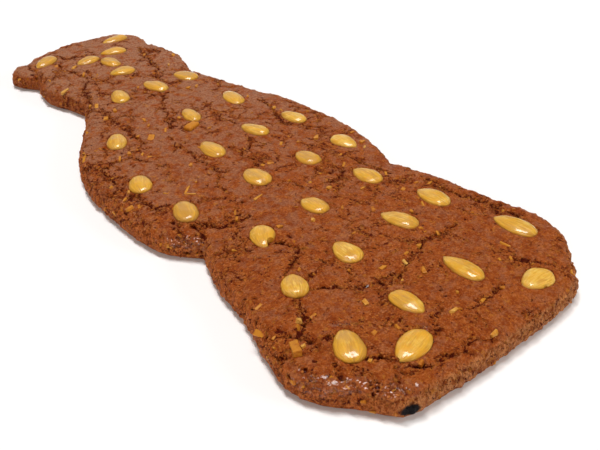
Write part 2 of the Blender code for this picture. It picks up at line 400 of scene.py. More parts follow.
# glossy lumps along the near edge and on the arm, as half width and route
wetPatches = ((5.0, ((-99, -204), (-96, -210.5), (-93, -214.5), (-88, -218.5), (-84, -223), (-79, -226))),
              (4.0, ((-74, -234), (-70, -238.5), (-66.5, -241.5), (-62, -242.5))),
              (5.0, ((-90, -71), (-84, -77), (-77, -83))),
              (2.5, ((-64, -190), (-60, -192), (-56, -194))),
              (2.0, ((-31, -218), (-28, -220))))

scorch = (-67.5, -247.0, 5.5)  # burnt spot low on the wall

# splits in the wall as half width and ends: a short one by the foot, and the fold between arm and skirt; both
# are pressed in and given the painted shade of the openings
slits = ((0.9, (-85.5, -227.5, 4.5), (-80.5, -231.0, 8.5)),
         (1.9, (-77.5, -86.5, 0.5), (-72.0, -79.5, 15.0)))


def distanceTo(points, route):  # positive on one side of the route, negative on the other
    nearest = np.full(len(points), 1e9)
    for start, end in zip(route, route[1:]):
        start, along = np.array(start, float), np.subtract(end, start).astype(float)
        t = np.clip((points - start) @ along / (along @ along), 0, 1)
        away = points - start - t[:, None] * along
        far = np.linalg.norm(away, axis=1)
        far = np.where(along[0] * away[:, 1] < along[1] * away[:, 0], -far, far)
        nearest = np.where(np.abs(far) < np.abs(nearest), far, nearest)
    return nearest


def almondPlace(node):  # centre, size and direction of a CAD almond, from the blunt end to the tip
    points = pointsOf(node)
    centre = (points.min(0) + points.max(0)) / 2
    spread = points - points.mean(0)
    along = np.linalg.svd(spread[:, :2], full_matrices=False)[2][0]
    reach = spread[:, :2] @ along
    across = spread[:, :2] @ np.array((-along[1], along[0]))
    middle = (reach.max() + reach.min()) / 2
    quarter = np.ptp(reach) / 4
    centre[:2] = points[:, :2].mean(0) + along * middle
    front = np.abs(across[reach > middle + quarter]).max()
    back = np.abs(across[reach < middle - quarter]).max()
    size = (np.ptp(reach), np.ptp(across), np.ptp(points[:, 2]))
    if front > back:  # the tip is the narrow end
        along = -along
    return centre, size, math.atan2(along[1], along[0])


almondNodes = {name: node for name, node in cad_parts.items() if name.startswith("almond_")}
almondPlaces = {name: almondPlace(node) for name, node in almondNodes.items()}


def makeDough():
    look = doughLook
    dough = bpy.data.objects.new("doughBiscuit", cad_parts["dough"].data.copy())
    bpy.context.scene.collection.objects.link(dough)
    dough.data.materials.clear()
    only(dough)
    bpy.ops.object.mode_set(mode="EDIT")
    bpy.ops.mesh.select_all(action="SELECT")
    bpy.ops.mesh.remove_doubles(threshold=look["weld"] * mm)
    bpy.ops.object.mode_set(mode="OBJECT")

    # the pockets are closed again, the beds of the almonds are pressed in later
    almondTrees = [treeOf(node) for node in almondNodes.values()]
    reach = look["pocketReach"] * mm
    pickFaces(dough, [any(tree.find_nearest(Vector(centre), reach)[0] is not None for tree in almondTrees)
                      for centre in faceCentres(dough)])
    bpy.ops.mesh.delete(type="FACE")
    bpy.ops.mesh.select_mode(type="EDGE")
    bpy.ops.mesh.select_non_manifold()
    bpy.ops.mesh.fill(use_beauty=True)
    bpy.ops.object.mode_set(mode="OBJECT")

    dough.data.remesh_voxel_size = look["voxel"] * mm
    only(dough)
    bpy.ops.object.voxel_remesh()
    soften = dough.modifiers.new("soften", "SMOOTH")
    soften.iterations = look["smoothing"]
    applyModifiers(dough)
    print("dough slab remeshed,", len(dough.data.polygons), "faces")

    # the flat underside needs few facets
    points, normals = pointsOf(dough), normalsOf(dough)
    under = dough.vertex_groups.new(name="under")
    flat = np.nonzero((normals[:, 2] < -0.99) & (points[:, 2] < 0.5 * mm))[0]
    under.add([int(i) for i in flat], 1.0, "REPLACE")
    thin = dough.modifiers.new("thin", "DECIMATE")
    thin.ratio = 1 - (1 - look["undersideKept"]) * len(flat) / len(dough.data.polygons)
    thin.vertex_group = "under"
    thin.vertex_group_factor = 1000.0
    applyModifiers(dough)
    print("underside thinned,", len(dough.data.polygons), "faces")
    return dough


def crackMasks(points):  # crumbly bands and the splits inside them, at points in millimetres
    look = doughLook
    wandered = points[:, :2].copy()
    for number, (grain, reach) in enumerate(look["warp"]):
        wandered[:, 0] += reach * roll(points, grain, 5 + number)
        wandered[:, 1] += reach * roll(points, grain, 11 + number)
    patchy = 0.5 + 0.5 * roll(points, 9.0, 2)
    band, split = np.zeros(len(points)), np.zeros(len(points))
    line, opening = np.full(len(points), 9.0), np.zeros(len(points))
    for halfWidth, depth, route in cracks:
        side = distanceTo(wandered, route)
        far = np.abs(side)
        strength = 1.0 if depth > 0 else look["looseMargin"]
        outer = halfWidth * (0.45 + 0.45 * patchy)
        band = np.maximum(band, strength * (1 - rise(far, halfWidth * 0.15, outer)))
        split = np.maximum(split, depth * (1 - rise(far, 0.1, 0.7 + 0.6 * patchy)))
        nearer = (far < np.abs(line)) & (depth > 0)
        line, opening = np.where(nearer, side, line), np.where(nearer, depth, opening)
    # the finer net between the plates of the crust
    nearest = np.array([noise.voronoi(Vector((x, y, 0)) / look["cellSize"])[0][:2] for x, y in wandered])
    net = (nearest[:, 1] - nearest[:, 0]) * look["cellSize"]
    shown = rise(roll(points, 26.0, 31), 0.15 - look["cellShare"] * 0.6, 0.35)
    band = np.maximum(band, 0.8 * shown * (1 - rise(net, 1.2, 3.6)))
    split = np.maximum(split, 0.5 * shown * (1 - rise(net, 0.3, 1.5)) * rise(patchy, 0.35, 0.6))
    return band, split, line, opening * (1 - rise(np.abs(line), 2.0, 3.5))


def almondMasks(points):  # the beds of the almonds, the lips round them and the line between
    look = doughLook
    bed, lip, rim = np.zeros(len(points)), np.zeros(len(points)), np.zeros(len(points))
    for centre, (length, width, _), turn in almondPlaces.values():
        away = points[:, :2] - centre[:2] / mm
        along = (away[:, 0] * math.cos(turn) + away[:, 1] * math.sin(turn)) / (length / mm)
        across = (away[:, 1] * math.cos(turn) - away[:, 0] * math.sin(turn)) / (width / mm)
        ring = 2 * np.hypot(along, across * (1 + look["bedTaper"] * along))
        bed = np.maximum(bed, 1 - rise(ring, 0.80, 1.0))
        lip = np.maximum(lip, np.exp(-((ring - 1.14) / 0.1) ** 2))
        rim = np.maximum(rim, 1 - rise(np.abs(ring - 0.95), 0.03, 0.12))
    return bed, lip, rim


def wetness(points):
    wet = np.zeros(len(points))
    for halfWidth, route in wetPatches:
        wet = np.maximum(wet, 1 - rise(np.abs(distanceTo(points[:, :2], route)), halfWidth * 0.5, halfWidth))
    return wet


def pitMask(points, chance):  # holes with oval, ragged edges
    look = doughLook
    rng = np.random.default_rng(look["seed"])
    chosen = rng.choice(len(points), size=look["pits"], replace=False, p=chance / chance.sum())
    centres = list(points[chosen] + rng.normal(0, 0.4, (len(chosen), 3)))
    low, high = look["pitSize"]
    radii = list(low + (high - low) * rng.random(len(chosen)) ** 3)
    for x, y, radius in holes:
        nearest = np.argmin(np.hypot(points[:, 0] - x, points[:, 1] - y) - points[:, 2])
        centres.append(points[nearest])
        radii.append(radius * look["holeShare"])
    longer, turns = rng.uniform(1.0, 2.2, len(centres)), rng.uniform(0, math.pi, len(centres))
    tree = KDTree(len(centres))
    for number, centre in enumerate(centres):
        tree.insert(centre, number)
    tree.balance()
    ragged = 1 + look["pitEdge"][1] * roll(points, look["pitEdge"][0], 7)
    pit = np.zeros(len(points))
    for index, point in enumerate(points):
        for centre, number, far in tree.find_n(point, 2):
            if far < 7:
                away, turn = point - centre, turns[number]
                along = (away[0] * math.cos(turn) + away[1] * math.sin(turn)) / longer[number]
                across = away[1] * math.cos(turn) - away[0] * math.sin(turn)
                out = math.hypot(along, across, away[2]) / radii[number] * ragged[index]
                pit[index] = max(pit[index], 1 - rise(np.array(out), 0.4, 1.15))
    return pit


def slitMask(points):
    cut = np.zeros(len(points))
    for halfWidth, foot, head in slits:
        steps = [np.add(foot, np.subtract(head, foot) * t) for t in np.linspace(0, 1, 14)]
        away = np.min([np.linalg.norm(points - step, axis=1) for step in steps], axis=0)
        cut = np.maximum(cut, 1 - rise(away, halfWidth * 0.4, halfWidth * 1.3))
    return cut


def refineDough(dough):  # more facets where the crust is rough
    look = doughLook
    centres = faceCentres(dough) / mm
    band = crackMasks(centres)[0]
    bed, lip, rim = almondMasks(centres)
    rough = (np.maximum(band, rim + lip) > look["fineMask"]) & (centres[:, 2] > look["fineHeight"])
    steep = np.array([abs(p.normal.z) < look["steepWall"] for p in dough.data.polygons])
    pickFaces(dough, rough | steep)
    bpy.ops.mesh.subdivide(number_cuts=1, smoothness=0)
    bpy.ops.object.mode_set(mode="OBJECT")
    centres = faceCentres(dough) / mm
    pickFaces(dough, (wetness(centres) > 0.5) & (centres[:, 2] > 3))
    bpy.ops.mesh.subdivide(number_cuts=1, smoothness=0)
    bpy.ops.object.mode_set(mode="OBJECT")
    print("bands and walls subdivided,", sum(len(p.vertices) - 2 for p in dough.data.polygons), "triangles")


def maskDough(dough):  # where each part of the crust lies, on the smooth slab
    look = doughLook
    points, normals = pointsOf(dough) / mm, normalsOf(dough)
    height, up = points[:, 2], normals[:, 2]
    top = rise(up, 0.35, 0.75) * rise(height, 9, 12)
    side = (1 - rise(up, 0.3, 0.8)) * rise(height, 0.2, 2.0)
    bed, lip, rim = almondMasks(points)
    clear = 1 - np.clip(bed + lip + rim, 0, 1)
    band, split, line, opening = crackMasks(points)
    band = band * (1 - bed) * (top + 0.6 * side)
    wet = wetness(points) * rise(up, 0.15, 0.45)
    chance = ((band * top) ** 1.5 * clear + 0.012 * top * clear + 0.03 * side) * (1 - wet)
    pit = pitMask(points, chance) * (1 - bed)
    scratch = np.clip(0.5 + roll(points * (1, 1, 0.25), look["scratches"][0], 9), 0, 1) * side
    fromScorch = np.linalg.norm((points - scorch) * (0.85, 0.85, 1.2), axis=1)
    fromScorch = fromScorch * (1 + 0.25 * roll(points, 2.5))
    masks = {
        "top": top,
        "side": side,
        "wall": (1 - rise(up, 0.5, 0.92)) * rise(height, 0.2, 2.0),
        "shoulder": (1 - rise(up, 0.88, 0.99)) * rise(up, 0.2, 0.5) * rise(height, 6, 10),
        "undercut": (1 - rise(height, 0.5, 4.5)) * (1 - rise(-up, 0.75, 0.98)),
        "bed": bed,
        "lip": lip * top,
        "rim": rim * top,
        "band": band,
        "split": split * clear * top,
        "opening": opening * clear * top,
        "pit": np.maximum(pit, slitMask(points)),
        "scratch": scratch,
        "wet": wet,
        "burnt": 1 - rise(fromScorch, 3.6, 5.4),
    }
    for name, weights in masks.items():
        mask(dough, name, weights)
    store(dough, "line", line)  # distance from the middle of the nearest drawn crack


def shapeDough(dough):
    look = doughLook
    for grain, height in look["lumps"]:
        push(dough, height, "top", grain, way="Z")
    push(dough, look["bedDepth"], "bed", way="Z")
    push(dough, look["lipHeight"], "lip", way="Z")
    push(dough, look["bandLift"], "band")
    push(dough, look["splitDepth"], "split")
    for basis, (grain, height) in zip(("VORONOI_F2_F1", "ORIGINAL_PERLIN"), look["crumbGrain"]):
        push(dough, height, "band", grain, basis=basis)
    push(dough, look["pitDepth"], "pit")
    for group, layers in (("side", look["sideGrain"]), ("shoulder", look["shoulderGrain"])):
        for grain, height in layers:
            push(dough, height, group, grain)
    push(dough, -look["scratches"][1], "scratch")
    for grain, height in look["wetGrain"]:
        push(dough, height, "wet", grain)
    push(dough, -look["undercut"], "undercut")
    applyModifiers(dough)
    only(dough)
    bpy.ops.object.shade_smooth()
    print("dough shaped")


dough = makeDough()
refineDough(dough)
maskDough(dough)
shapeDough(dough)
dough.data.materials.append(crustMaterial())
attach(dough, "root")
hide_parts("dough")


kernelLook = {
    "golden": (0.82, 0.425, 0.032),
    "pale": (0.96, 0.66, 0.15),
    "toasted": (0.61, 0.30, 0.040),
    "amber": (0.84, 0.39, 0.014),
    "glaze": (0.36, 0.12, 0.012),  # where syrup has run in at the foot
    "streaks": 0.11,  # spacing across, as a share of the width
    "bands": 2.2,  # how many wider bands run the same way
}


def kernelMaterial():
    look = kernelLook
    material, shader, make, place = newMaterial("glazedKernel", {
        "Coat Roughness": 0.05, "Roughness": 0.33, "Specular IOR Level": 0.4,
        "Subsurface Weight": 0.12, "Subsurface Radius": (0.004, 0.002, 0.0006), "Subsurface Scale": 1.0})
    along = make.node("ShaderNodeAttribute", {"attribute_name": "grain"}, out=1)
    fine = make.node("ShaderNodeTexNoise", {}, {"Vector": along, "Scale": 1 / look["streaks"], "Detail": 3.0})
    wide = make.node("ShaderNodeTexNoise", {}, {"Vector": along, "Scale": look["bands"], "Detail": 2.0})
    blotch = make.cloud(place, 6.5, 3, 0.6)
    stain = make.cloud(place, 8, 2, 0.6)
    speck = make.cloud(place, 1.5, 2, 0.6)
    foot, tone, honey = (make.painted(name) for name in ("foot", "tone", "honey"))
    colour = (wide * 0.9 + fine * 0.6 - 0.25 + tone * 0.08).between(0.3, 0.66)
    colour = colour.blend(look["toasted"], look["golden"])
    colour = ((fine * 0.5 + blotch * 0.5 + tone * 0.12).between(0.5, 0.72) * 0.75).blend(colour, look["pale"])
    colour = ((1 - fine.between(0.3, 0.42)) * 0.22).blend(colour, look["toasted"])
    colour = ((stain + tone * 0.1).between(0.45, 0.7) * (0.2 + honey * 0.5)).blend(colour, look["amber"])
    colour = ((1 - speck.between(0.36, 0.52)) * 0.22).blend(colour, look["toasted"])
    colour = (foot * 0.7).blend(colour, look["glaze"])
    coat = (fine * 0.4 + speck * 0.6).between(0.36, 0.48)
    finishSurface(shader, make, {"Base Color": colour, "Coat Weight": coat}, ((wide, 0.6), (fine, 0.3)))
    return material


almondLook = {
    "segments": 44,
    "rings": 28,
    "taper": 0.30,
    "tip": (0.04, 0.2),  # how far the tip is drawn out, and the reach of the pull
    "flatten": (0.06, 0.45),  # how far the back is levelled off, and the reach of that
    "dents": ((9.0, 1.2), (4.0, 0.55), (2.2, 0.4)),
    "footHeight": (0.0, 0.9),  # the glaze at the foot fades out over this height
    "biteEdge": (2.5, 0.5),  # grain and share of the radius of a bite's raggedness
    "biteDepth": (2.5, 2.2),  # its middle below the top of the almond, and how tall it is for its width
    "crease": 50,
    "seed": 3,
}

# how pale or dark an almond is, from -1 to 1, where it differs from its row
tones = {"hat_1": -0.8, "eye_1": -0.9, "belly_1": -0.9, "belly_3": -0.5, "nose_1": -0.4, "collar_3": -0.7,
         "belly_4": 0.8, "hem_1": 0.5, "hem_2": 0.9, "skirt_2": 0.0, "skirt_3": 0.3, "hip_1": 0.3,
         "hip_2": 0.5, "hip_4": 0.4, "chest_4": 0.5, "skirt_1": -0.3, "shoulder_1": 0.3}

# almonds with a glaze of a deeper yellow
honeyed = ("hat_2", "eye_2", "mouth_1", "collar_3", "skirt_2", "skirt_3", "hem_1")

# bites and broken corners, as x, y and radius
bites = {"waist_1": (-46.5, -114.5, 3.8), "waist_2": (-11.0, -87.5, 3.4), "belly_2": (-16.0, -37.0, 2.0),
         "waist_3": (55.5, -101.0, 2.8), "belly_3": (40.0, -55.5, 2.8), "hem_2": (43.5, -237.0, 1.8),
         "hem_1": (-58.0, -225.5, 2.4), "chest_1": (-67.0, -17.5, 2.4), "hip_3": (36.5, -149.0, 2.2)}


def makeKernel():  # one almond of unit size, tip towards +X
    look = almondLook
    bpy.ops.object.select_all(action="DESELECT")
    bpy.ops.mesh.primitive_uv_sphere_add(segments=look["segments"], ring_count=look["rings"], radius=0.5,
                                         rotation=(0, math.pi / 2, 0))
    kernel = bpy.context.object
    bpy.ops.object.transform_apply(location=True, rotation=True, scale=True)
    taper = kernel.modifiers.new("taper", "SIMPLE_DEFORM")
    taper.deform_method = "TAPER"
    taper.deform_axis = "X"
    taper.factor = -look["taper"]
    applyModifiers(kernel)
    tip, back = np.argmax(pointsOf(kernel)[:, 0]), np.argmax(pointsOf(kernel)[:, 2])
    for end, pull, reach in ((tip, (look["tip"][0], 0, 0), look["tip"][1]),
                             (back, (0, 0, -look["flatten"][0]), look["flatten"][1])):
        bpy.ops.object.mode_set(mode="EDIT")
        bpy.ops.mesh.select_mode(type="VERT")
        bpy.ops.mesh.select_all(action="DESELECT")
        bpy.ops.object.mode_set(mode="OBJECT")
        kernel.data.vertices[int(end)].select = True
        bpy.ops.object.mode_set(mode="EDIT")
        bpy.ops.transform.translate(value=pull, use_proportional_edit=True, proportional_size=reach,
                                    proportional_edit_falloff="SMOOTH")
        bpy.ops.object.mode_set(mode="OBJECT")
    return kernel


def bite(almond, x, y, radius):  # takes a ragged round bite out of the edge
    grain, share = almondLook["biteEdge"]
    below, tall = almondLook["biteDepth"]
    middle = (x * mm, y * mm, pointsOf(almond)[:, 2].max() - below * mm)
    bpy.ops.object.select_all(action="DESELECT")
    bpy.ops.mesh.primitive_ico_sphere_add(subdivisions=4, radius=radius * mm, location=middle)
    cutter = bpy.context.object
    cutter.scale = (1, 1, tall)
    bpy.ops.object.transform_apply(location=True, rotation=True, scale=True)
    push(cutter, radius * share, "", grain)
    applyModifiers(cutter)
    cut = almond.modifiers.new("bite", "BOOLEAN")
    cut.object = cutter
    cut.solver = "EXACT"
    applyModifiers(almond)
    bpy.data.objects.remove(cutter)


def placeAlmond(kernel, name, skin, doughTree, rng):
    look = almondLook
    centre, (length, width, thickness), turn = almondPlaces[name]
    almond = kernel.copy()
    almond.data = kernel.data.copy()
    short = name.split("_", 1)[1]
    almond.name = "kernel_" + short
    bpy.context.scene.collection.objects.link(almond)
    almond.scale = np.array((length, width, thickness)) / np.ptp(pointsOf(almond), axis=0)
    almond.rotation_euler = (0, 0, turn)
    almond.location = centre
    only(almond)
    bpy.ops.object.transform_apply(location=True, rotation=True, scale=True)
    for grain, height in look["dents"]:
        push(almond, height, "", grain)
    applyModifiers(almond)
    if short in bites:
        bite(almond, *bites[short])
    only(almond)
    bpy.ops.object.shade_smooth_by_angle(angle=math.radians(look["crease"]))

    # the run of its grain, how near each point is to the dough, and its own tone
    points = pointsOf(almond)
    away = (points - centre) @ np.array(Matrix.Rotation(turn, 3, "Z")) / (length, width, thickness)
    fromAxis = np.maximum(np.hypot(away[:, 1], away[:, 2]), 0.02)
    grain = np.column_stack((away[:, 0] * 0.5, away[:, 1] / fromAxis, away[:, 2] / fromAxis))
    under = [doughTree.find_nearest(Vector(point))[0] for point in points]
    heights = np.array([point[2] - found.z for point, found in zip(points, under)]) / mm
    store(almond, "grain", grain + rng.uniform(0, 20, 3), "FLOAT_VECTOR")
    store(almond, "foot", 1 - rise(heights, *look["footHeight"]))
    store(almond, "tone", np.full(len(points), tones.get(short, rng.uniform(-0.3, 0.3))))
    store(almond, "honey", np.full(len(points), float(short in honeyed)))
    almond.data.materials.append(skin)
    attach(almond, "root")
    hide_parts(name)
    return almond


doughTree = treeOf(dough)
kernel = makeKernel()
skin = kernelMaterial()
rng = np.random.default_rng(almondLook["seed"])
almonds = [placeAlmond(kernel, name, skin, doughTree, rng) for name in sorted(almondNodes)]
bpy.data.objects.remove(kernel)
print("almonds placed,", len(almonds))


chipLook = {
    "shapes": 8,
    "cuts": 3,
    "cutDepth": (0.36, 0.5),
    "bevel": 0.06,
    "onTop": 100,
    "inWall": 90,
    "length": (1.4, 3.6),
    "widthShare": (0.35, 0.75),
    "thickness": (0.8, 1.5),
    "sunk": 0.25,  # share of its thickness below the dough, from its middle
    "tilt": 22,
    "seed": 22,
    "fragmentLumps": ((4.0, 1.3), (1.4, 0.4)),  # grain and height
    "brown": (0.40, 0.11, 0.008),
    "golden": (0.57, 0.22, 0.020),
    "pale": (0.72, 0.42, 0.10),
}

# the larger chips on the top, as x, y, length, width, turn, tone from 0 brown to 1 pale
chips = (
    (-14, -111, 3.5, 3.2, 45, 0.7), (9, -111, 5, 2, 50, 0.3), (53, -119, 3, 2.6, 20, 0.4),
    (73, -123, 4, 2, 15, 0.4), (22, -124, 6.5, 2.2, 60, 0.25), (-4, -136, 3, 1.6, 10, 0.3),
    (39, -140, 3, 2, 80, 0.5), (50, -139, 5, 2.5, 55, 0.5), (-50, -143, 3.5, 2, 40, 0.2),
    (30, -157, 3, 1.8, -20, 0.5), (-85, -153, 5, 1.7, 10, 0.5), (-94.5, -167, 6.5, 4, -68, 0.35),
    (-13, -170, 5, 2.6, 8, 0.5), (6, -169, 3.5, 2, 20, 0.35), (18, -167, 5, 3, 32, 0.55),
    (0, -174, 4, 3.2, 80, 0.9), (35, -166, 4.5, 2.2, 60, 0.35), (-75.5, -175, 5, 4, 50, 0.8),
    (-68, -177, 4, 2, 0, 0.3), (85, -173, 4, 2, 42, 0.6), (-41, -186, 4.5, 3, 80, 0.6),
    (-12, -184, 3, 2, 25, 0.7), (2, -186, 6.5, 3, 62, 0.3), (-86, -191, 3.2, 3, 0, 0.7),
    (-103, -193, 4, 4, 70, 0.6), (56, -198, 7, 2, -75, 0.5), (43, -205, 3, 2.2, 60, 0.4),
    (-53, -206, 3.4, 2.4, 10, 0.3), (-41, -210, 4, 2, 85, 0.25), (-67, -218, 3, 2, 30, 0.7),
    (-10, -219, 6, 2.6, 4, 0.7), (9, -222, 4, 2, 10, 0.5), (-49, -234, 4.5, 3.2, 20, 0.15),
    (-5, -242, 6, 3, 10, 0.6), (68, -235, 5, 2, 42, 0.6), (29, -23, 4.5, 2, 42, 0.6),
    (54, -31, 7, 3.6, 50, 0.55), (-54, -34, 9, 1.6, 40, 0.6), (-56, -40, 8, 1.4, -38, 0.6),
    (-84, -12, 3.4, 2, 70, 0.6), (-90, -18, 4.5, 2.2, 30, 0.5), (-92, -29, 5.5, 4, 20, 0.4),
    (-87, -31, 4.5, 2, 65, 0.35), (7, -40, 5, 2, -15, 0.35), (81, -39, 4, 2, 10, 0.4),
    (77, -54, 5, 3, 20, 0.6), (73, -61, 4, 1.6, 40, 0.7), (-25, -70, 9, 2, 22, 0.6),
    (44, -72, 4.5, 3, 35, 0.5), (12, -76, 2.4, 2, 0, 0.5), (18, -88, 5, 3, 15, 0.6),
    (58, -98, 4, 2, 60, 0.5), (-34, -104, 4, 3, 0, 0.4), (34, -102, 5.5, 1.6, 18, 0.5),
    (-48, -80, 4, 2, 60, 0.4), (-36, -9, 4.4, 3, 60, 0.35), (-90, 0, 2.6, 2, 0, 0.6),
    (6, -12, 3.6, 2, 60, 0.3), (-45, 122, 7, 3, 62, 0.4), (-44, 113, 6, 3, 60, 0.6),
    (-4, 121, 3.6, 2, 70, 0.4), (-37, 97, 7.5, 3, 72, 0.45), (-48, 90, 5, 4, 60, 0.5),
    (-66, 126, 3.4, 3, 20, 0.6), (27, 96, 4, 3.6, 30, 0.4), (34, 95, 6, 3, 45, 0.5),
    (-28, 67, 5.5, 3, 82, 0.4), (-24, 44, 7, 2, 60, 0.5), (-38, 40, 7, 5, 48, 0.4),
    (-44, 48, 3, 2, 45, 0.5), (-86, 47, 7, 2.4, 52, 0.6), (-69, 28, 5.5, 2, 62, 0.5),
    (-61, 30, 5.5, 3, 80, 0.4), (55, 54, 3.4, 3, 45, 0.6), (60, 26, 4, 3, 20, 0.6),
    (62, 20, 4.4, 2, 70, 0.5), (-54, 24, 4, 1.6, 50, 0.5), (-51, 154, 8.5, 3, 32, 0.8),
    (-26, 190, 6.5, 3, 42, 0.7), (-26, 172, 6, 2, 62, 0.5), (-36, 204, 5, 4, 70, 0.3),
    (35, 181, 4.6, 4, 40, 0.35), (33, 165, 7, 2, 72, 0.3), (40, 148, 6, 2, 60, 0.7),
    (54, 164, 4.4, 3, 60, 0.6), (-30, 58, 4, 2, 60, 0.3), (40, -28, 2.6, 1.6, 30, 0.4),
    (66, -118, 3, 2, 0, 0.3),
)

# big pieces of broken almond, rounding is a share of the width
fragments = {
    "roundFragment": {"place": (-6.5, 37), "size": (12.0, 7.0, 4.2), "turn": 22, "tilt": 0,
                      "rounding": 0.42, "tone": 0.42},
    "squareFragment": {"place": (-90, -190), "size": (10.0, 4.6, 4.0), "turn": 66, "tilt": 10,
                       "rounding": 0.14, "tone": 0.35},
}


def chipMaterial():
    look = chipLook
    material, shader, make, place = newMaterial("choppedKernel", {
        "Coat Weight": 0.1, "Coat Roughness": 0.2, "Roughness": 0.5, "Specular IOR Level": 0.2})
    patch, grain = make.cloud(place, 2.2, 3, 0.6), make.cloud(place, 0.7, 2)
    tone = make.painted("tone") + (patch - 0.5) * 1.1
    colour = tone.between(0.0, 0.5).blend(look["brown"], look["golden"])
    colour = tone.between(0.5, 1.0).blend(colour, look["pale"])
    finishSurface(shader, make, {"Base Color": colour}, ((patch, 0.3), (grain, 0.12)))
    return material


def makeChipShapes():
    look = chipLook
    rng = np.random.default_rng(look["seed"])
    shapes = []
    for _ in range(look["shapes"]):
        bpy.ops.object.select_all(action="DESELECT")
        bpy.ops.mesh.primitive_cube_add(size=1.0)
        shape = bpy.context.object
        bpy.ops.object.mode_set(mode="EDIT")
        for _ in range(look["cuts"]):
            bpy.ops.mesh.select_all(action="SELECT")
            away = Vector(rng.normal(size=3)).normalized()
            bpy.ops.mesh.bisect(plane_co=away * rng.uniform(*look["cutDepth"]), plane_no=away, use_fill=True,
                                clear_outer=True)
        bpy.ops.object.mode_set(mode="OBJECT")
        edge = shape.modifiers.new("edge", "BEVEL")
        edge.width = look["bevel"]
        edge.limit_method = "NONE"
        applyModifiers(shape)
        shapes.append(shape)
    return shapes


# copies of the shapes, each at a (centre, normal, size, turn, tilt, tone), joined into one piece
def strew(name, shapes, places):
    copies = []
    for number, (centre, normal, size, turn, tilt, tone) in enumerate(places):
        piece = shapes[number % len(shapes)].copy()
        piece.data = piece.data.copy()
        bpy.context.scene.collection.objects.link(piece)
        upright = Vector((0, 0, 1)).rotation_difference(Vector(normal)).to_matrix().to_4x4()
        piece.matrix_world = (Matrix.Translation(centre) @ upright @ Matrix.Rotation(turn, 4, "Z")
                              @ Matrix.Rotation(tilt, 4, "Y") @ Matrix.Diagonal((*(Vector(size) * mm), 1)))
        store(piece, "tone", np.full(len(piece.data.vertices), tone))
        copies.append(piece)
    bpy.context.view_layer.update()
    bpy.ops.object.select_all(action="DESELECT")
    for piece in copies:
        piece.select_set(True)
    bpy.context.view_layer.objects.active = copies[0]
    bpy.ops.object.join()
    joined = bpy.context.object
    joined.name = name
    bpy.ops.object.transform_apply(location=True, rotation=True, scale=True)
    for shape in shapes:
        bpy.data.objects.remove(shape)
    return joined


def seat(tree, x, y):  # the dough straight below this place, and its normal
    found = tree.ray_cast(Vector((x * mm, y * mm, 0.1)), Vector((0, 0, -1)))
    return found[0], found[1]


def makeChips():
    look = chipLook
    rng = np.random.default_rng(look["seed"] + 1)
    places = []
    for x, y, length, width, turn, tone in chips:
        centre, normal = seat(doughTree, x, y)
        if centre:
            thick = min(width * 0.8, 2.4)
            size = (length * 0.92, width * 0.85, thick)
            leaning = Vector((0, 0, 1)).lerp(normal, 0.6)
            places.append((centre + leaning * thick * -0.1 * mm, leaning, size, math.radians(turn),
                           math.radians(rng.uniform(-8, 8)), tone))

    # more of them by chance, on the top and in the wall
    points, normals = pointsOf(dough), normalsOf(dough)
    band, top, side = (recall(dough, name + "Mask") for name in ("band", "top", "side"))
    bed, lip, burnt = (recall(dough, name + "Mask") for name in ("bed", "lip", "burnt"))
    onTop = top * (1 - np.clip(bed + lip, 0, 1)) ** 2 * (0.5 + band)
    inWall = (side > 0.5) * (points[:, 2] > 2 * mm) * (burnt < 0.1)
    for count, share in ((look["onTop"], onTop), (look["inWall"], inWall)):
        for index in rng.choice(len(points), size=count, replace=False, p=share / share.sum()):
            length = rng.uniform(*look["length"])
            thick = rng.uniform(*look["thickness"])
            size = (length, length * rng.uniform(*look["widthShare"]), thick)
            centre = Vector(points[index] - normals[index] * thick * look["sunk"] * mm)
            places.append((centre, normals[index], size, rng.uniform(0, math.pi),
                           math.radians(rng.normal(0, look["tilt"])), rng.uniform(0.05, 0.6)))
    return strew("choppedAlmonds", makeChipShapes(), places)


def makeFragment(name, fragment):
    centre, _ = seat(doughTree, *fragment["place"])
    length, width, height = (side * mm for side in fragment["size"])
    tilt, turn = math.radians(fragment["tilt"]), math.radians(fragment["turn"])
    bpy.ops.object.select_all(action="DESELECT")
    bpy.ops.mesh.primitive_cube_add(size=1.0, location=centre + Vector((0, 0, 0.1 * height)),
                                    rotation=(0, tilt, turn))
    piece = bpy.context.object
    piece.name = name
    piece.scale = (length, width, height)
    bpy.ops.object.transform_apply(location=True, rotation=True, scale=True)
    rounded = piece.modifiers.new("rounded", "BEVEL")
    rounded.width = fragment["rounding"] * width
    rounded.segments = 4
    fine = piece.modifiers.new("fine", "SUBSURF")
    fine.levels = fine.render_levels = 2
    applyModifiers(piece)
    for grain, height in chipLook["fragmentLumps"]:
        push(piece, height, "", grain)
    applyModifiers(piece)
    bpy.ops.object.shade_smooth()
    store(piece, "tone", np.full(len(piece.data.vertices), fragment["tone"]))
    return piece


choppedSkin = chipMaterial()
broken = [makeChips()] + [makeFragment(name, fragment) for name, fragment in fragments.items()]
for piece in broken:
    piece.data.materials.append(choppedSkin)
    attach(piece, "root")
print("chopped almond strewn,", len(broken[0].data.polygons), "faces")


crumbLook = {
    "shapes": 5,
    "count": 1100,
    "size": (0.5, 1.8),
    "flatness": (0.5, 1.0),
    "lumps": (600, 350),  # grain and height, in thousandths of a crumb
    "dark": (0.20, 0.042, 0.008),
    "light": (0.50, 0.155, 0.028),
    "seed": 33,
}


def crumbMaterial():
    look = crumbLook
    material, shader, make, place = newMaterial("bakedCrumb", {"Roughness": 0.7, "Specular IOR Level": 0.35})
    patch, grain = make.cloud(place, 2.5, 2), make.cloud(place, 0.5, 2)
    colour = (make.painted("tone") * 0.8 + (patch - 0.5)).between(0.0, 0.8).blend(look["dark"], look["light"])
    finishSurface(shader, make, {"Base Color": colour}, ((grain, 0.2),))
    return material


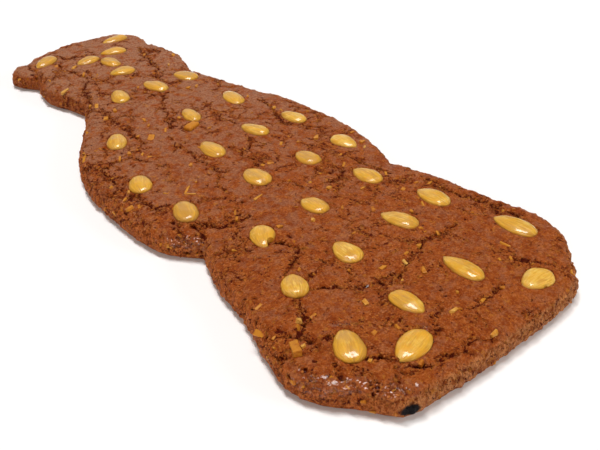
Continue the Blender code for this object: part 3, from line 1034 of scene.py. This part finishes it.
def makeCrumbShapes():  # set apart while their lumps are pushed in, so that no two are alike
    grain, height = crumbLook["lumps"]
    shapes = []
    for number in range(crumbLook["shapes"]):
        bpy.ops.object.select_all(action="DESELECT")
        bpy.ops.mesh.primitive_ico_sphere_add(subdivisions=1, radius=0.5, location=(number, 0, 0))
        shape = bpy.context.object
        bpy.ops.object.transform_apply(location=True, rotation=True, scale=True)
        push(shape, height, "", grain)
        applyModifiers(shape)
        shape.data.transform(Matrix.Translation((-number, 0, 0)))
        shapes.append(shape)
    return shapes


def makeCrumbs():
    look = crumbLook
    rng = np.random.default_rng(look["seed"])
    shapes = makeCrumbShapes()
    points, normals = pointsOf(dough), normalsOf(dough)
    band, top, side, burnt = (recall(dough, name + "Mask") for name in ("band", "top", "side", "burnt"))
    inWall = (0.12 + 0.25 * (points[:, 2] > 9 * mm)) * side * (points[:, 2] > 2 * mm)
    share = (band ** 2 * top + inWall + 0.01 * top) * (burnt < 0.1)
    low, high = look["size"]
    places = []
    for index in rng.choice(len(points), size=look["count"], replace=False, p=share / share.sum()):
        width = low + (high - low) * rng.random() ** 2
        size = (width * rng.uniform(0.9, 1.5), width, width * rng.uniform(*look["flatness"]))
        places.append((Vector(points[index] + normals[index] * 0.1 * width * mm), normals[index], size,
                       rng.uniform(0, math.pi), rng.normal(0, 0.4), rng.random()))
    return strew("doughCrumbs", shapes, places)


crumbs = makeCrumbs()
crumbs.data.materials.append(crumbMaterial())
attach(crumbs, "root")
print("crumbs strewn,", len(crumbs.data.polygons), "faces")


studioLook = {
    "camera": (-260.8, -408.5, 278.2),
    "cameraTilt": 55.5,
    "cameraTurn": -38.5,
    "lens": 47.0,
    "inGloss": ("glintPanel", "backGlow"),  # the lights that show in the glossy spots
    "onlyInGloss": ("glintPanel",),  # of them, the one that lights nothing else
    "roomGlow": 0.1,
    "tableSize": 8000.0,
    "tableDrop": 0.2,  # gap below the cookie's flat underside
    "tableGlow": 0.05,
    "tableTones": ((0.95, 0.95, 0.96), (0.97, 0.97, 0.98)),
}

# the lamps stand far off, so their places and sizes are in metres
lights = {
    "flash": {"place": (0.48, 0.15, 5.1), "size": 1.6, "power": 96.0, "tint": (1.0, 0.98, 0.95)},
    "glintPanel": {"place": (0.5, 0.1, 5.0), "size": 2.0, "power": 155.0, "tint": (1.0, 1.0, 0.98)},
    "rightFill": {"place": (2.9, -3.3, 1.6), "size": 1.5, "power": 56.0, "tint": (1.0, 0.98, 0.95)},
    "leftFill": {"place": (-3.6, -2.2, 1.6), "size": 1.5, "power": 56.0, "tint": (1.0, 0.84, 0.72)},
    "overhead": {"place": (0.3, 1.65, 4.75), "size": 1.1, "power": 122.0, "tint": (1.0, 0.99, 0.97)},
    "backGlow": {"place": (1.1, 1.7, 0.8), "size": 1.6, "power": 2.5, "tint": (1.0, 1.0, 1.0)},
}


def placeCamera():
    look = studioLook
    tilt, turn = math.radians(look["cameraTilt"]), math.radians(look["cameraTurn"])
    bpy.ops.object.camera_add(location=[c * mm for c in look["camera"]], rotation=(tilt, 0, turn))
    camera = bpy.context.object
    camera.data.lens = look["lens"]
    camera.data.sensor_width = 36.0
    camera.data.clip_start = 0.01
    bpy.context.scene.camera = camera
    # the standard view leaves the white table and the yellow almonds as bright as they are lit
    bpy.context.scene.view_settings.view_transform = "Standard"


def placeLights():
    look = studioLook
    for name, light in lights.items():
        bpy.ops.object.light_add(type="AREA", location=light["place"])
        lamp = bpy.context.object
        lamp.name = name
        lamp.data.size = light["size"]
        lamp.data.energy = light["power"]
        lamp.data.color = light["tint"]
        lamp.rotation_euler = (-Vector(light["place"])).to_track_quat("-Z", "Y").to_euler()
        lamp.visible_glossy = name in look["inGloss"]
        lamp.visible_diffuse = name not in look["onlyInGloss"]
    room = bpy.data.worlds.new("softRoom")
    bpy.context.scene.world = room
    room.use_nodes = True
    background = room.node_tree.nodes["Background"]
    background.inputs["Color"].default_value = (1.0, 1.0, 1.0, 1.0)
    background.inputs["Strength"].default_value = look["roomGlow"]


def makeTable():
    look = studioLook
    material, shader, make, place = newMaterial("paleTableTop", {
        "Roughness": 0.7, "Specular IOR Level": 0.2,
        "Emission Color": (1.0, 1.0, 1.0, 1.0), "Emission Strength": look["tableGlow"]})
    finishSurface(shader, make, {"Base Color": make.cloud(place, 60, 2).blend(*look["tableTones"])}, ())
    bpy.ops.object.select_all(action="DESELECT")
    bpy.ops.mesh.primitive_plane_add(size=look["tableSize"] * mm, location=(0, 0, -look["tableDrop"] * mm))
    table = bpy.context.object
    table.name = "paleTable"
    table.data.materials.append(material)
    return table


placeCamera()
placeLights()
makeTable()
print("camera, lights and table placed")
